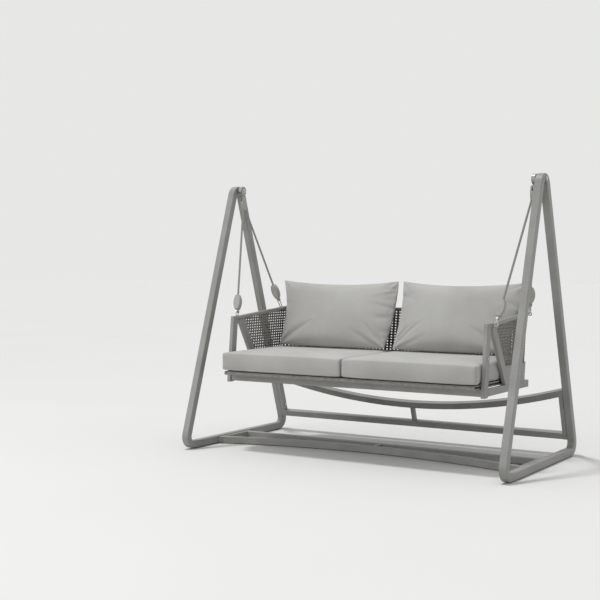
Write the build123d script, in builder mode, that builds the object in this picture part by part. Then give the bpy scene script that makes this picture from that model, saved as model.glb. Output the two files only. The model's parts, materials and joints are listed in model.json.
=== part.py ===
"""Two-seat porch swing: bent-tube A-frames, a rope-hung bench with a woven shell, cushions and pillows.

Millimetres. +Z is up and the front faces -Y. +X points to the side that is on the right when
the swing is seen from the front; pieces are named "left" and "right" the same way. The origin
lies on the floor midway between the two pivots.
"""

from build123d import *

from math import asin, atan2, cos, degrees, hypot, radians, sin, tan
import os

os.makedirs("parts", exist_ok=True)

# ---------------------------------------------------------------- stand
stand_width = 2186.0        # over the outer faces of the side frames
stand_height = 1700.0       # floor to the top of the crown
foot_span = 1210.0          # between the legs' outer lines, at the rail's underside
tube = 46.0                 # square tube of the side frames
tube_edge = 6.0             # rounding of the square tube's edges
crown_radius = 73.0         # outer bend at the top
foot_radius = 76.0          # outer bend at the floor corners
glide_height = 5.0          # plastic glides hold the rails this far off the floor
glide_radius = 17.0
glide_inset = 127.0         # glide's centre in from the end of the foot span

# rear brace: a welded frame bolted inside the rear legs
brace_tube = 40.0           # square tube of the crossbar and the curved rail
brace_upright_width = 25.0
brace_edge = 4.0
crossbar_height = 110.0     # crossbar's centre above the rail's underside
curve_end_height = 388.0    # curved rail's centre height at its ends
curve_drop = 148.0          # how far the rail bows down at the middle
strut_width = 25.0

# floor frame between the side frames
floor_tube = 40.0
floor_end_width = 25.0
floor_bar_front_y = -225.0  # front bar's centre line at its ends
floor_bar_bow = 172.0       # how far the front bar bows back at the middle
floor_bar_rear_y = 68.0     # rear bar's centre line
spacer_width = 30.0
floor_spacer_reach = 2.0    # the spacer is cut to the front bar's curve from this much over length
floor_bolt_inset = 60.0
bolt_head_radius = 7.0
bolt_head_height = 5.0
bolt_pitch_low = 60.0       # brace bolts, from the crossbar's and the curved rail's centre lines
bolt_pitch_high = 60.0

# ---------------------------------------------------------------- pivots
pivot_drop = 32.0           # pivot below the top of the crown
axle_radius = 6.0
axle_hole_clearance = 0.25  # bolt in the stand's own holes
running_clearance = 0.05    # axle in its bush
bush_wall = 3.0
housing_radius = 24.0
housing_thickness = 8.0
washer_thickness = 2.0
washer_radius = 15.0
face_gap = 0.4              # air between a fixed face and a moving one
hub_radius = 30.0
hub_thickness = 22.0
lug_thickness = 8.0
lug_width = 24.0
lug_drop = 56.0             # pivot down to the hole for the rope clasp's pin
lug_tip = 12.0              # metal below that hole
clasp_pin_radius = 4.0
pin_clearance = 0.1         # pins that don't turn in service
head_height = 7.0
head_across = 19.0

# ---------------------------------------------------------------- ropes and their fittings
rope_radius = 7.0
rope_meet_drop = 85.0       # pivot down to where a side's two rope lines meet
eye_out = 14.0              # eye's centre beyond the bench's side face
front_eye_y = -247.0
rear_eye_y = 282.0
eye_below_rail = 12.0       # eye's centre below the arm rail's top
clasp_top = 18.0            # upper clasp, above its pin
clasp_length = 92.0
clasp_width = 46.0
clasp_thickness = 30.0
pod_start_front = 50.0      # lower pod's lower end, from the eye, along the rope
pod_start_rear = 72.0
pod_length = 100.0
pod_width = 50.0
pod_thickness = 32.0
pod_tip = 22.0              # flat at the tips of the almond outline
pod_corner = 4.0            # rounding of the outline's corners
pod_edge = 5.0
tongue_width = 20.0
tongue_thickness = 12.0
tongue_length = 20.0
tongue_hole = 13.0          # pin's centre below the pod
shackle_rod = 3.5           # radius of the bow's rod
shackle_boss = 7.5
shackle_boss_thickness = 8.0     # more than the rod's diameter, so the rod ends inside the boss
shackle_play = 1.0          # air beside the tongue
pin_proud = 3.0
rope_start = 30.0           # rope lines start this far from their meeting point, inside the clasp
clasp_tip = 26.0            # flat at the tips of the upper clasp's outline
ring_radius = 10.0
ring_rod = 3.5
link_gap = 0.5              # air between the shackle's bow and the eye's ring
eye_plate = 4.0
eye_plate_width = 24.0
eye_plate_height = 22.0

# ---------------------------------------------------------------- bench
bench_width = 1764.0
post_width = 24.0
post_depth = 50.0
post_edge = 3.0
rail_edge = 3.0
post_foot_y = -378.0        # post's front face at its foot
post_foot_z = 429.0
post_lean = 6.0             # degrees back from upright
arm_front_y = -285.0
arm_front_z = 846.0         # arm rail's top at the front
arm_rise = 4.6              # degrees, upwards to the back
arm_tube_height = 25.0
arm_tube_edge = 8.0
side_rail_height = 42.0
side_rail_z = 437.0
front_rail_height = 42.0
front_rail_depth = 25.0
front_rail_setback = 9.0
cross_bar_count = 3
cross_bar_width = 25.0
platform_thickness = 25.0
platform_front_y = -450.0
platform_clearance = 6.0
platform_roll = 12.0
shell_thickness = 20.0
shell_back_y = 357.0        # outer face of the shell's back, at the arm rail's height
shell_lean = 8.0            # degrees
shell_corner = 80.0         # outer plan radius of the shell's rear corners
base_rail_height = 110.0
band_width = 55.0
band_lean = 30.6            # degrees from upright, of the arm's front edge
weave_thickness = 8.0
back_upright_count = 3
back_upright_width = 20.0
back_upright_thickness = 6.0

screw_radius = 6.0
screw_head = 3.0
screw_front_y = -23.0
screw_rear_y = 200.0
screw_rise = 38.0           # shell screws above the seat frame's top
post_screw_z = 650.0

# ---------------------------------------------------------------- soft parts
cushion_lift = 0.5          # air under a seat cushion
soft_gap = 2.0              # air round a cushion or pillow
cushion_overhang = 17.0     # cushion's front beyond the platform's roll
cushion_height = 116.0
cushion_side_gap = 6.0
cushion_radius = 28.0
pillow_side_gap = 19.0      # between a pillow and the bench's inner side
pillow_height = 440.0
pillow_thickness = 120.0
pillow_radius = 45.0
pillow_gap = 26.0           # between the two pillows
pillow_lean = 18.0          # degrees
pillow_foot_y = 176.0

# ---------------------------------------------------------------- worked out from the values above
half_width = stand_width / 2
frame_inner_x = half_width - tube
half_bench = bench_width / 2
rail_floor = glide_height
crown_z = stand_height - crown_radius
leg_run = foot_span / 2
glide_y = leg_run - glide_inset
pivot_height = stand_height - pivot_drop
leg_rise = crown_z - rail_floor
leg_lean = degrees(atan2(leg_run, leg_rise) - asin(crown_radius / hypot(leg_run, leg_rise)))
apex_z = crown_z + crown_radius / sin(radians(leg_lean))
inner_apex_z = apex_z - tube / sin(radians(leg_lean))


def leg_inner_y(z):
    """Y of the rear leg's inner line at a height."""
    return (inner_apex_z - z) * tan(radians(leg_lean))


def save(part, name):
    """Labels a finished piece and writes it to its own file."""
    part.label = name
    export_step(part, f"parts/{name}.step")


def inward(x, y, z, sign):
    """Plane at a point of one side, with its normal pointing to the middle of the swing."""
    return Plane(origin=(sign * x, y, z), x_dir=(0, 1, 0), z_dir=(-sign, 0, 0))


sides = {"left": -1, "right": 1}
bottom_up = (Align.CENTER, Align.CENTER, Align.MIN)

# ================================================================ stand: side frames
for side, sign in sides.items():
    with BuildPart() as side_frame:
        with BuildSketch(Plane.YZ.offset(sign * (half_width - tube / 2))) as loop:
            with BuildLine():
                Polyline((-leg_run, rail_floor), (leg_run, rail_floor), (0, apex_z), close=True)
            make_face()
            fillet(loop.vertices().sort_by(Axis.Y)[-1:], radius=crown_radius)
            fillet(loop.vertices().sort_by(Axis.Y)[:2], radius=foot_radius)
            offset(amount=-tube, mode=Mode.SUBTRACT)
        extrude(amount=tube / 2, both=True)
        fillet(side_frame.faces().filter_by(Axis.X).edges(), radius=tube_edge)
        with Locations(Plane.YZ.offset(sign * half_width)):
            with Locations((0, pivot_height)):
                Hole(radius=axle_radius + axle_hole_clearance)
    save(side_frame.part, f"side_frame_{side}")

with BuildPart() as foot_glides:
    with Locations((0, 0, glide_height / 2)):
        with GridLocations(2 * half_width - tube, 2 * glide_y, 2, 2):
            Cylinder(glide_radius, glide_height)
    chamfer(foot_glides.faces().sort_by(Axis.Z)[:4].edges(), length=1)
save(foot_glides.part, "foot_glides")

# ================================================================ stand: rear brace, in the legs' plane
brace_plane = Plane(
    origin=(0, leg_inner_y(rail_floor), rail_floor),
    x_dir=(1, 0, 0),
    z_dir=(0, -cos(radians(leg_lean)), -sin(radians(leg_lean))),
)
slope_scale = 1 / cos(radians(leg_lean))
crossbar_v = crossbar_height * slope_scale
curve_end_v = curve_end_height * slope_scale
curve_mid_v = curve_end_v - curve_drop * slope_scale
upright_x = frame_inner_x - brace_upright_width / 2
crossbar_half = frame_inner_x - brace_upright_width

with BuildPart() as brace_crossbar:
    with BuildSketch(brace_plane):
        with Locations((0, crossbar_v)):
            Rectangle(2 * crossbar_half, brace_tube)
    extrude(amount=-brace_tube)
    fillet(brace_crossbar.edges().filter_by(Axis.X), radius=brace_edge)
save(brace_crossbar.part, "brace_crossbar")

with BuildPart() as brace_curved_rail:
    with BuildSketch(brace_plane):
        with BuildLine():
            rail_line = ThreePointArc(
                (-frame_inner_x, curve_end_v), (0, curve_mid_v), (frame_inner_x, curve_end_v)
            )
            offset(rail_line, amount=brace_tube / 2, kind=Kind.ARC, side=Side.BOTH)
        make_face()
        with Locations((frame_inner_x + brace_tube, curve_end_v), (-frame_inner_x - brace_tube, curve_end_v)):
            Rectangle(2 * brace_tube, 4 * brace_tube, mode=Mode.SUBTRACT)
    extrude(amount=-brace_tube)
save(brace_curved_rail.part, "brace_curved_rail")

for side, sign in sides.items():
    with BuildPart() as brace_upright:
        with BuildSketch(brace_plane):
            with Locations((sign * upright_x, (crossbar_v - brace_tube / 2 + curve_end_v) / 2)):
                Rectangle(brace_upright_width, curve_end_v - crossbar_v + brace_tube / 2)
        extrude(amount=-brace_tube)
        add(brace_curved_rail.part, mode=Mode.SUBTRACT)
    save(brace_upright.part, f"brace_upright_{side}")

with BuildPart() as brace_strut:
    strut_low = crossbar_v + brace_tube / 2
    with BuildSketch(brace_plane.offset(-(brace_tube - strut_width) / 2)):
        with Locations((0, (strut_low + curve_mid_v) / 2)):
            Rectangle(strut_width, curve_mid_v - strut_low)
    extrude(amount=-strut_width)
    add(brace_curved_rail.part, mode=Mode.SUBTRACT)
save(brace_strut.part, "brace_strut")

# ================================================================ stand: floor frame
floor_mid_z = rail_floor + floor_tube / 2
floor_half = frame_inner_x - floor_end_width

with BuildPart() as floor_bar_front:
    with BuildSketch(Plane.XY.offset(rail_floor)):
        with BuildLine():
            bar_line = ThreePointArc(
                (-frame_inner_x, floor_bar_front_y),
                (0, floor_bar_front_y + floor_bar_bow),
                (frame_inner_x, floor_bar_front_y),
            )
            offset(bar_line, amount=floor_tube / 2, kind=Kind.ARC, side=Side.BOTH)
        make_face()
        for sign in sides.values():
            with Locations((sign * (floor_half + floor_tube), floor_bar_front_y)):
                Rectangle(2 * floor_tube, 4 * floor_tube, mode=Mode.SUBTRACT)
    extrude(amount=floor_tube)
save(floor_bar_front.part, "floor_bar_front")

with BuildPart() as floor_bar_rear:
    with BuildSketch(Plane.XY.offset(rail_floor)):
        with Locations((0, floor_bar_rear_y)):
            Rectangle(2 * floor_half, floor_tube)
    extrude(amount=floor_tube)
    fillet(floor_bar_rear.edges().filter_by(Axis.X), radius=brace_edge)
save(floor_bar_rear.part, "floor_bar_rear")

end_low = floor_bar_front_y - floor_tube / 2
end_high = floor_bar_rear_y + floor_tube / 2
for side, sign in sides.items():
    with BuildPart() as floor_end:
        with BuildSketch(Plane.XY.offset(rail_floor)):
            with Locations((sign * (frame_inner_x - floor_end_width / 2), (end_low + end_high) / 2)):
                Rectangle(floor_end_width, end_high - end_low)
        extrude(amount=floor_tube)
        fillet(floor_end.edges().filter_by(Axis.Y), radius=brace_edge)
    save(floor_end.part, f"floor_end_{side}")

spacer_low = floor_bar_front_y + floor_bar_bow + floor_tube / 2
spacer_high = floor_bar_rear_y - floor_tube / 2
with BuildPart() as floor_spacer:
    with BuildSketch(Plane.XY.offset(rail_floor)):
        with Locations((0, (spacer_low + spacer_high) / 2 - floor_spacer_reach / 2)):
            Rectangle(spacer_width, spacer_high - spacer_low + floor_spacer_reach)
    extrude(amount=floor_tube)
    add(floor_bar_front.part, mode=Mode.SUBTRACT)
save(floor_spacer.part, "floor_spacer")

brace_spots = [
    brace_plane.from_local_coords((0, height, -brace_tube / 2))
    for height in (crossbar_v + bolt_pitch_low, curve_end_v - bolt_pitch_high)
]
floor_spots = [
    Vector(0, floor_bar_front_y + floor_bolt_inset, floor_mid_z),
    Vector(0, floor_bar_rear_y - floor_bolt_inset, floor_mid_z),
]
with BuildPart() as stand_bolts:
    for sign in sides.values():
        for spot in brace_spots + floor_spots:
            with Locations(inward(floor_half, spot.Y, spot.Z, sign)):
                Cylinder(bolt_head_radius, bolt_head_height, align=bottom_up)
save(stand_bolts.part, "stand_bolts")

# ================================================================ pivots
housing_x = frame_inner_x
washer_x = housing_x - housing_thickness
hub_x = washer_x - washer_thickness - face_gap
hub_inner_x = hub_x - hub_thickness
nut_washer_x = hub_inner_x - face_gap
nut_x = nut_washer_x - washer_thickness
axle_end_x = nut_x - head_height - 2 * face_gap
lug_x = hub_inner_x + lug_thickness / 2
rope_x = lug_x
bush_radius = axle_radius + running_clearance + bush_wall

with BuildPart() as pivot_housings:
    for sign in sides.values():
        with Locations(inward(housing_x, 0, pivot_height, sign)):
            Cylinder(housing_radius, housing_thickness, align=bottom_up)
            Cylinder(
                axle_radius + axle_hole_clearance, housing_thickness, align=bottom_up, mode=Mode.SUBTRACT
            )
save(pivot_housings.part, "pivot_housings")

for side, sign in sides.items():
    with BuildPart() as swivel_hub:
        with Locations(inward(hub_x, 0, pivot_height, sign)):
            Cylinder(hub_radius, hub_thickness, align=bottom_up)
        with BuildSketch(Plane.YZ.offset(sign * lug_x)):
            with Locations((0, pivot_height - lug_drop / 2)):
                Rectangle(lug_width, lug_drop)
            with Locations((0, pivot_height - lug_drop)):
                Circle(lug_tip)
        extrude(amount=lug_thickness / 2, both=True)
        with Locations(inward(hub_x, 0, pivot_height, sign)):
            Hole(radius=bush_radius)
        with Locations(inward(hub_x, 0, pivot_height - lug_drop, sign)):
            Hole(radius=clasp_pin_radius + pin_clearance)
    save(swivel_hub.part, f"swivel_hub_{side}")

with BuildPart() as pivot_bushes:
    for sign in sides.values():
        with Locations(inward(hub_x, 0, pivot_height, sign)):
            Cylinder(bush_radius, hub_thickness, align=bottom_up)
            Cylinder(
                axle_radius + running_clearance, hub_thickness, align=bottom_up, mode=Mode.SUBTRACT
            )
save(pivot_bushes.part, "pivot_bushes")

with BuildPart() as thrust_washers:
    for sign in sides.values():
        for start_x in (washer_x, nut_washer_x):
            with Locations(inward(start_x, 0, pivot_height, sign)):
                Cylinder(washer_radius, washer_thickness, align=bottom_up)
                Cylinder(
                    axle_radius + running_clearance, washer_thickness, align=bottom_up, mode=Mode.SUBTRACT
                )
save(thrust_washers.part, "thrust_washers")

with BuildPart() as pivot_bolts:
    for sign in sides.values():
        with Locations(inward(half_width, 0, pivot_height, sign)):
            Cylinder(axle_radius, half_width - axle_end_x, align=bottom_up)
        with BuildSketch(inward(half_width + head_height, 0, pivot_height, sign)):
            RegularPolygon(head_across / 2, 6, major_radius=False)
        extrude(amount=head_height)
save(pivot_bolts.part, "pivot_bolts")

with BuildPart() as pivot_nuts:
    for sign in sides.values():
        with BuildSketch(inward(nut_x, 0, pivot_height, sign)):
            RegularPolygon(head_across / 2, 6, major_radius=False)
            Circle(axle_radius, mode=Mode.SUBTRACT)
        extrude(amount=head_height)
save(pivot_nuts.part, "pivot_nuts")

# ================================================================ ropes: upper clasps
def almond(width, length, tip):
    """Leaf outline with flat tips, standing on its plane's origin."""
    with BuildSketch(mode=Mode.PRIVATE) as leaf:
        with BuildLine():
            right = ThreePointArc((tip / 2, 0), (width / 2, length / 2), (tip / 2, length))
            Line(right @ 1, (-tip / 2, length))
            left = ThreePointArc((-tip / 2, length), (-width / 2, length / 2), (-tip / 2, 0))
            Line(left @ 1, (tip / 2, 0))
        make_face()
        fillet(leaf.vertices(), radius=pod_corner)
    return leaf.sketch


clasp_pin_z = pivot_height - lug_drop
clasp_low_z = clasp_pin_z + clasp_top - clasp_length
slot_low_z = clasp_pin_z - lug_tip - face_gap
clasps = {}
for side, sign in sides.items():
    with BuildPart() as rope_clasp:
        with BuildSketch(Plane(origin=(sign * rope_x, 0, clasp_low_z), x_dir=(0, 1, 0), z_dir=(1, 0, 0))):
            add(almond(clasp_width, clasp_length, clasp_tip))
        extrude(amount=clasp_thickness / 2, both=True)
        fillet(rope_clasp.faces().filter_by(Axis.X).edges(), radius=pod_edge)
        with Locations((sign * rope_x, 0, slot_low_z)):
            Box(
                lug_thickness + 2 * face_gap, 2 * clasp_width, clasp_length,
                align=bottom_up, mode=Mode.SUBTRACT,
            )
        with Locations(inward(rope_x + clasp_thickness, 0, clasp_pin_z, sign)):
            Hole(radius=clasp_pin_radius + pin_clearance)
    clasps[side] = rope_clasp.part
    save(rope_clasp.part, f"rope_clasp_{side}")

with BuildPart() as clasp_pins:
    for sign in sides.values():
        with Locations(inward(rope_x + clasp_thickness / 2, 0, clasp_pin_z, sign)):
            Cylinder(clasp_pin_radius, clasp_thickness, align=bottom_up)
save(clasp_pins.part, "clasp_pins")

# ================================================================ ropes, lower pods, shackles and eyes
rope_meet = {side: Vector(sign * rope_x, 0, pivot_height - rope_meet_drop) for side, sign in sides.items()}
arm_slope = tan(radians(arm_rise))


def arm_top_z(y):
    """Height of the arm rail's top at a depth."""
    return arm_front_z + (y - arm_front_y) * arm_slope


eyes = {"front": front_eye_y, "rear": rear_eye_y}
leg_y = tongue_thickness / 2 + shackle_play + shackle_boss_thickness / 2
bow_low = ring_radius - 2 * ring_rod - link_gap
pod_starts = {"front": pod_start_front, "rear": pod_start_rear}


def along(eye, meet):
    """The fitting's own plane: origin at the eye, local X across the swing, local Y up the rope."""
    up = (meet - eye).normalized()
    across = (Vector(1, 0, 0) - up * up.X).normalized()
    return Plane(origin=eye, x_dir=across, z_dir=across.cross(up))


fittings = {}
for side, sign in sides.items():
    for end, eye_y in eyes.items():
        eye = Vector(sign * (half_bench + eye_out), eye_y, arm_top_z(eye_y) - eye_below_rail)
        fittings[side, end] = along(eye, rope_meet[side])

for (side, end), lay in fittings.items():
    reach = (rope_meet[side] - lay.origin).length
    pod_start = pod_starts[end]
    pin_up = pod_start - tongue_hole
    with BuildPart() as rope_pod:
        with BuildSketch(lay.shift_origin(lay.from_local_coords((0, pod_start, 0)))):
            add(almond(pod_width, pod_length, pod_tip))
        extrude(amount=pod_thickness / 2, both=True)
        fillet(rope_pod.faces().filter_by(lay).edges(), radius=pod_edge)
        with BuildSketch(lay):
            with Locations((0, pod_start - tongue_length / 2 + pod_edge / 2)):
                Rectangle(tongue_width, tongue_length + pod_edge)
            with Locations((0, pin_up)):
                Circle(clasp_pin_radius + pin_clearance, mode=Mode.SUBTRACT)
        extrude(amount=tongue_thickness / 2, both=True)
    save(rope_pod.part, f"rope_pod_{end}_{side}")

    rope_low = pod_start + pod_length
    rope_place = Plane(origin=lay.from_local_coords((0, rope_low, 0)), z_dir=lay.y_dir)
    with BuildPart() as rope:
        with Locations(rope_place):
            Cylinder(rope_radius, reach - rope_low - rope_start, align=bottom_up)
        add(clasps[side], mode=Mode.SUBTRACT)
    save(rope.part, f"rope_{end}_{side}")

    with BuildPart() as shackle:
        bow_plane = Plane(origin=lay.origin, x_dir=lay.z_dir, z_dir=-lay.x_dir)
        with BuildLine(bow_plane) as bow:
            leg = Line((-leg_y, pin_up), (-leg_y, bow_low + leg_y))
            arc = ThreePointArc(leg @ 1, (0, bow_low), (leg_y, bow_low + leg_y))
            Line(arc @ 1, (leg_y, pin_up))
        with BuildSketch(Plane(origin=bow.line @ 0, z_dir=bow.line % 0)):
            Circle(shackle_rod)
        sweep()
        for way in (-1, 1):
            start = leg_y - shackle_boss_thickness / 2
            boss = Plane(
                origin=lay.from_local_coords((0, pin_up, way * start)), z_dir=lay.z_dir * way
            )
            with Locations(boss):
                Cylinder(shackle_boss, shackle_boss_thickness, align=bottom_up)
        with Locations(Plane(origin=lay.from_local_coords((0, pin_up, 0)), z_dir=lay.z_dir)):
            Cylinder(clasp_pin_radius + pin_clearance, 4 * leg_y, mode=Mode.SUBTRACT)
    save(shackle.part, f"shackle_{end}_{side}")

with BuildPart() as shackle_pins:
    pin_half = leg_y + shackle_boss_thickness / 2
    for (side, end), lay in fittings.items():
        pin_centre = lay.from_local_coords((0, pod_starts[end] - tongue_hole, 0))
        with Locations(Plane(origin=pin_centre, z_dir=lay.z_dir)):
            Cylinder(clasp_pin_radius, 2 * pin_half + pin_proud)
save(shackle_pins.part, "shackle_pins")

with BuildPart() as arm_eyes:
    for (side, end), lay in fittings.items():
        with Locations(lay):
            Torus(ring_radius, ring_rod)
        centre = lay.origin
        with Locations(Location((sides[side] * (half_bench + eye_plate / 2), centre.Y, centre.Z))):
            Box(eye_plate, eye_plate_width, eye_plate_height)
save(arm_eyes.part, "arm_eyes")

# ================================================================ bench: posts and seat frame
post_tan = tan(radians(post_lean))
seat_base_z = side_rail_z + side_rail_height
post_inner_x = half_bench - post_width
posts = {}


def post_y(z):
    """Y of the front posts' front face at a height."""
    return post_foot_y + (z - post_foot_z) * post_tan


for side, sign in sides.items():
    with BuildPart() as front_post:
        with BuildSketch(Plane.YZ.offset(sign * (half_bench - post_width / 2))):
            with BuildLine():
                Polyline(
                    (post_y(post_foot_z), post_foot_z),
                    (post_y(post_foot_z) + post_depth, post_foot_z),
                    (post_y(arm_front_z) + post_depth, arm_front_z),
                    (post_y(arm_front_z), arm_front_z),
                    close=True,
                )
            make_face()
        extrude(amount=post_width / 2, both=True)
        fillet(front_post.edges(), radius=post_edge)
    posts[side] = front_post.part
    save(front_post.part, f"front_post_{side}")

arm_back_z = arm_top_z(shell_back_y)
shell_tan = tan(radians(shell_lean))


def shell_y(z):
    """Y of the outer face of the shell's back at a height."""
    return shell_back_y - (arm_back_z - z) * shell_tan


rear_rail_y = shell_y(seat_base_z)
for side, sign in sides.items():
    with BuildPart() as side_rail:
        with BuildSketch(Plane.XY.offset(side_rail_z)):
            with Locations((sign * (half_bench - post_width / 2), (post_foot_y + rear_rail_y) / 2)):
                Rectangle(post_width, rear_rail_y - post_foot_y)
        extrude(amount=side_rail_height)
        fillet(side_rail.edges().filter_by(Axis.Y), radius=rail_edge)
        with BuildSketch(Plane.YZ):
            with BuildLine():
                Polyline(
                    (post_foot_y - post_depth, 0),
                    (post_y(0) + post_depth, 0),
                    (post_y(arm_front_z) + post_depth, arm_front_z),
                    (post_foot_y - post_depth, arm_front_z),
                    close=True,
                )
            make_face()
        extrude(amount=bench_width, both=True, mode=Mode.SUBTRACT)
    save(side_rail.part, f"side_rail_{side}")

front_rail_y = post_y(seat_base_z) + front_rail_setback + front_rail_depth / 2
rails = {"front_rail": front_rail_y, "rear_rail": rear_rail_y - front_rail_depth / 2}
for name, rail_y in rails.items():
    with BuildPart() as cross_rail:
        with BuildSketch(Plane.XY.offset(seat_base_z)):
            with Locations((0, rail_y)):
                Rectangle(2 * post_inner_x, front_rail_depth)
        extrude(amount=-front_rail_height)
        fillet(cross_rail.edges().filter_by(Axis.X), radius=rail_edge)
    save(cross_rail.part, name)

bar_low = front_rail_y + front_rail_depth / 2
bar_high = rear_rail_y - front_rail_depth
bar_pitch = 2 * post_inner_x / (cross_bar_count + 1)
with BuildPart() as seat_cross_bars:
    with BuildSketch(Plane.XY.offset(seat_base_z)):
        with Locations((0, (bar_low + bar_high) / 2)):
            with GridLocations(bar_pitch, 1, cross_bar_count, 1):
                Rectangle(cross_bar_width, bar_high - bar_low)
    extrude(amount=-cross_bar_width)
save(seat_cross_bars.part, "seat_cross_bars")

platform_half = post_inner_x - platform_clearance
platform_back_y = rear_rail_y - shell_thickness - platform_clearance
with BuildPart() as seat_platform:
    with BuildSketch(Plane.XY.offset(seat_base_z)) as platform_plan:
        with Locations((0, (platform_front_y + platform_back_y) / 2)):
            Rectangle(2 * platform_half, platform_back_y - platform_front_y)
        fillet(platform_plan.vertices().sort_by(Axis.Y)[-2:], radius=shell_corner - shell_thickness)
    extrude(amount=platform_thickness)
    fillet(seat_platform.edges().filter_by(Axis.X).group_by(Axis.Y)[0], radius=platform_roll)
save(seat_platform.part, "seat_platform")

# ================================================================ bench: shell frame
band_tan = tan(radians(band_lean))
under_rail_z = arm_front_z - arm_tube_height / cos(radians(arm_rise))
band_run = band_width / cos(radians(band_lean))


def band_y(z, back=0.0):
    """Y of the band's front edge, or of a line that far behind it, at a height."""
    return arm_front_y + back + (arm_front_z - z) * band_tan


def under_rail_y(back):
    """Y where the line that far behind the band's front edge meets the arm rail's underside."""
    y_start = arm_front_y + back
    rise = arm_front_z - under_rail_z + arm_front_y * arm_slope
    return (y_start + rise * band_tan) / (1 + arm_slope * band_tan)


def under_rail(y):
    """Height of the arm rail's underside at a depth."""
    return under_rail_z + (y - arm_front_y) * arm_slope


def ribbon(z, inset, thickness):
    """Plan of the shell at a height: a U open to the front, this thick, this far inside the outer face."""
    middle = inset + thickness / 2
    x = half_bench - middle
    y = shell_y(z) - middle
    with BuildSketch(mode=Mode.PRIVATE) as plan:
        with BuildLine():
            path = FilletPolyline(
                (-x, post_foot_y), (-x, y), (x, y), (x, post_foot_y), radius=shell_corner - middle
            )
            offset(path, amount=thickness / 2, side=Side.BOTH, kind=Kind.TANGENT)
        make_face()
    return plan.sketch


with BuildPart() as ahead_of_shell:
    with BuildSketch(Plane.YZ):
        with BuildLine():
            Polyline(
                (-stand_height, 0),
                (band_y(0, band_run), 0),
                (band_y(stand_height, band_run), stand_height),
                (-stand_height, stand_height),
                close=True,
            )
        make_face()
    extrude(amount=bench_width, both=True)

with BuildPart() as above_rail:
    with BuildSketch(Plane.YZ):
        with BuildLine():
            Polyline(
                (-stand_height, under_rail(-stand_height)),
                (stand_height, under_rail(stand_height)),
                (stand_height, 2 * stand_height),
                (-stand_height, 2 * stand_height),
                close=True,
            )
        make_face()
    extrude(amount=bench_width, both=True)

rail_plane = Plane(
    origin=(0, arm_front_y, arm_front_z - arm_tube_height / 2),
    x_dir=(1, 0, 0),
    z_dir=(0, -sin(radians(arm_rise)), cos(radians(arm_rise))),
)
rail_x = half_bench - shell_thickness / 2
rail_back = (shell_back_y - shell_thickness / 2 - arm_front_y) / cos(radians(arm_rise))
with BuildPart() as arm_rail:
    with BuildLine(rail_plane) as rail_path:
        FilletPolyline(
            (-rail_x, -post_depth), (-rail_x, rail_back), (rail_x, rail_back), (rail_x, -post_depth),
            radius=shell_corner - shell_thickness / 2,
        )
    with BuildSketch(Plane(origin=rail_path.line @ 0, x_dir=(1, 0, 0), z_dir=rail_path.line % 0)):
        RectangleRounded(shell_thickness, arm_tube_height, arm_tube_edge)
    sweep()
    with BuildSketch(Plane.YZ):
        with BuildLine():
            Polyline(
                (post_foot_y - post_depth, 0),
                (post_y(0) + post_depth, 0),
                (post_y(stand_height) + post_depth, stand_height),
                (post_foot_y - post_depth, stand_height),
                close=True,
            )
        make_face()
    extrude(amount=bench_width, both=True, mode=Mode.SUBTRACT)
save(arm_rail.part, "arm_rail")

for side, sign in sides.items():
    with BuildPart() as arm_band:
        with BuildSketch(Plane.YZ.offset(sign * (half_bench - shell_thickness / 2))):
            with BuildLine():
                Polyline(
                    (band_y(seat_base_z), seat_base_z),
                    (band_y(seat_base_z, band_run), seat_base_z),
                    (under_rail_y(band_run), under_rail(under_rail_y(band_run))),
                    (under_rail_y(0), under_rail(under_rail_y(0))),
                    close=True,
                )
            make_face()
        extrude(amount=shell_thickness / 2, both=True)
        add(posts[side], mode=Mode.SUBTRACT)
    save(arm_band.part, f"arm_band_{side}")

with BuildPart() as base_rail:
    for z in (seat_base_z, seat_base_z + base_rail_height):
        with BuildSketch(Plane.XY.offset(z)):
            add(ribbon(z, 0, shell_thickness))
    loft()
    add(ahead_of_shell.part, mode=Mode.SUBTRACT)
save(base_rail.part, "shell_base_rail")

weave_low_z = seat_base_z + base_rail_height
with BuildPart() as weave:
    for z in (weave_low_z, arm_back_z + arm_tube_height):
        with BuildSketch(Plane.XY.offset(z)):
            add(ribbon(z, back_upright_thickness, weave_thickness))
    loft()
    add(ahead_of_shell.part, mode=Mode.SUBTRACT)
    add(above_rail.part, mode=Mode.SUBTRACT)

corner_back = -shell_corner
with BuildPart() as behind_sides:
    with BuildSketch(Plane.YZ):
        with BuildLine():
            Polyline(
                (shell_y(0) + corner_back, 0),
                (shell_y(0) + stand_height, 0),
                (shell_y(stand_height) + stand_height, stand_height),
                (shell_y(stand_height) + corner_back, stand_height),
                close=True,
            )
        make_face()
    extrude(amount=bench_width, both=True)

with BuildPart() as woven_back:
    add(weave.part)
    add(behind_sides.part, mode=Mode.INTERSECT)
save(woven_back.part, "woven_back")

for side, sign in sides.items():
    with BuildPart() as woven_side:
        add(weave.part)
        add(behind_sides.part, mode=Mode.SUBTRACT)
        split(bisect_by=Plane.YZ, keep=Keep.TOP if sign > 0 else Keep.BOTTOM)
    save(woven_side.part, f"woven_side_{side}")

upright_pitch = bench_width / (back_upright_count + 1)
with BuildPart() as back_uprights:
    for z in (weave_low_z, arm_back_z + arm_tube_height):
        with BuildSketch(Plane.XY.offset(z)):
            with Locations((0, shell_y(z) - back_upright_thickness / 2)):
                Rectangle(bench_width, back_upright_thickness)
    loft()
    with BuildSketch(Plane.XZ):
        Rectangle(2 * bench_width, 4 * stand_height)
        with GridLocations(upright_pitch, 1, back_upright_count, 1):
            Rectangle(back_upright_width, 4 * stand_height, mode=Mode.SUBTRACT)
    extrude(amount=stand_height, both=True, mode=Mode.SUBTRACT)
    add(above_rail.part, mode=Mode.SUBTRACT)
save(back_uprights.part, "back_uprights")

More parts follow.
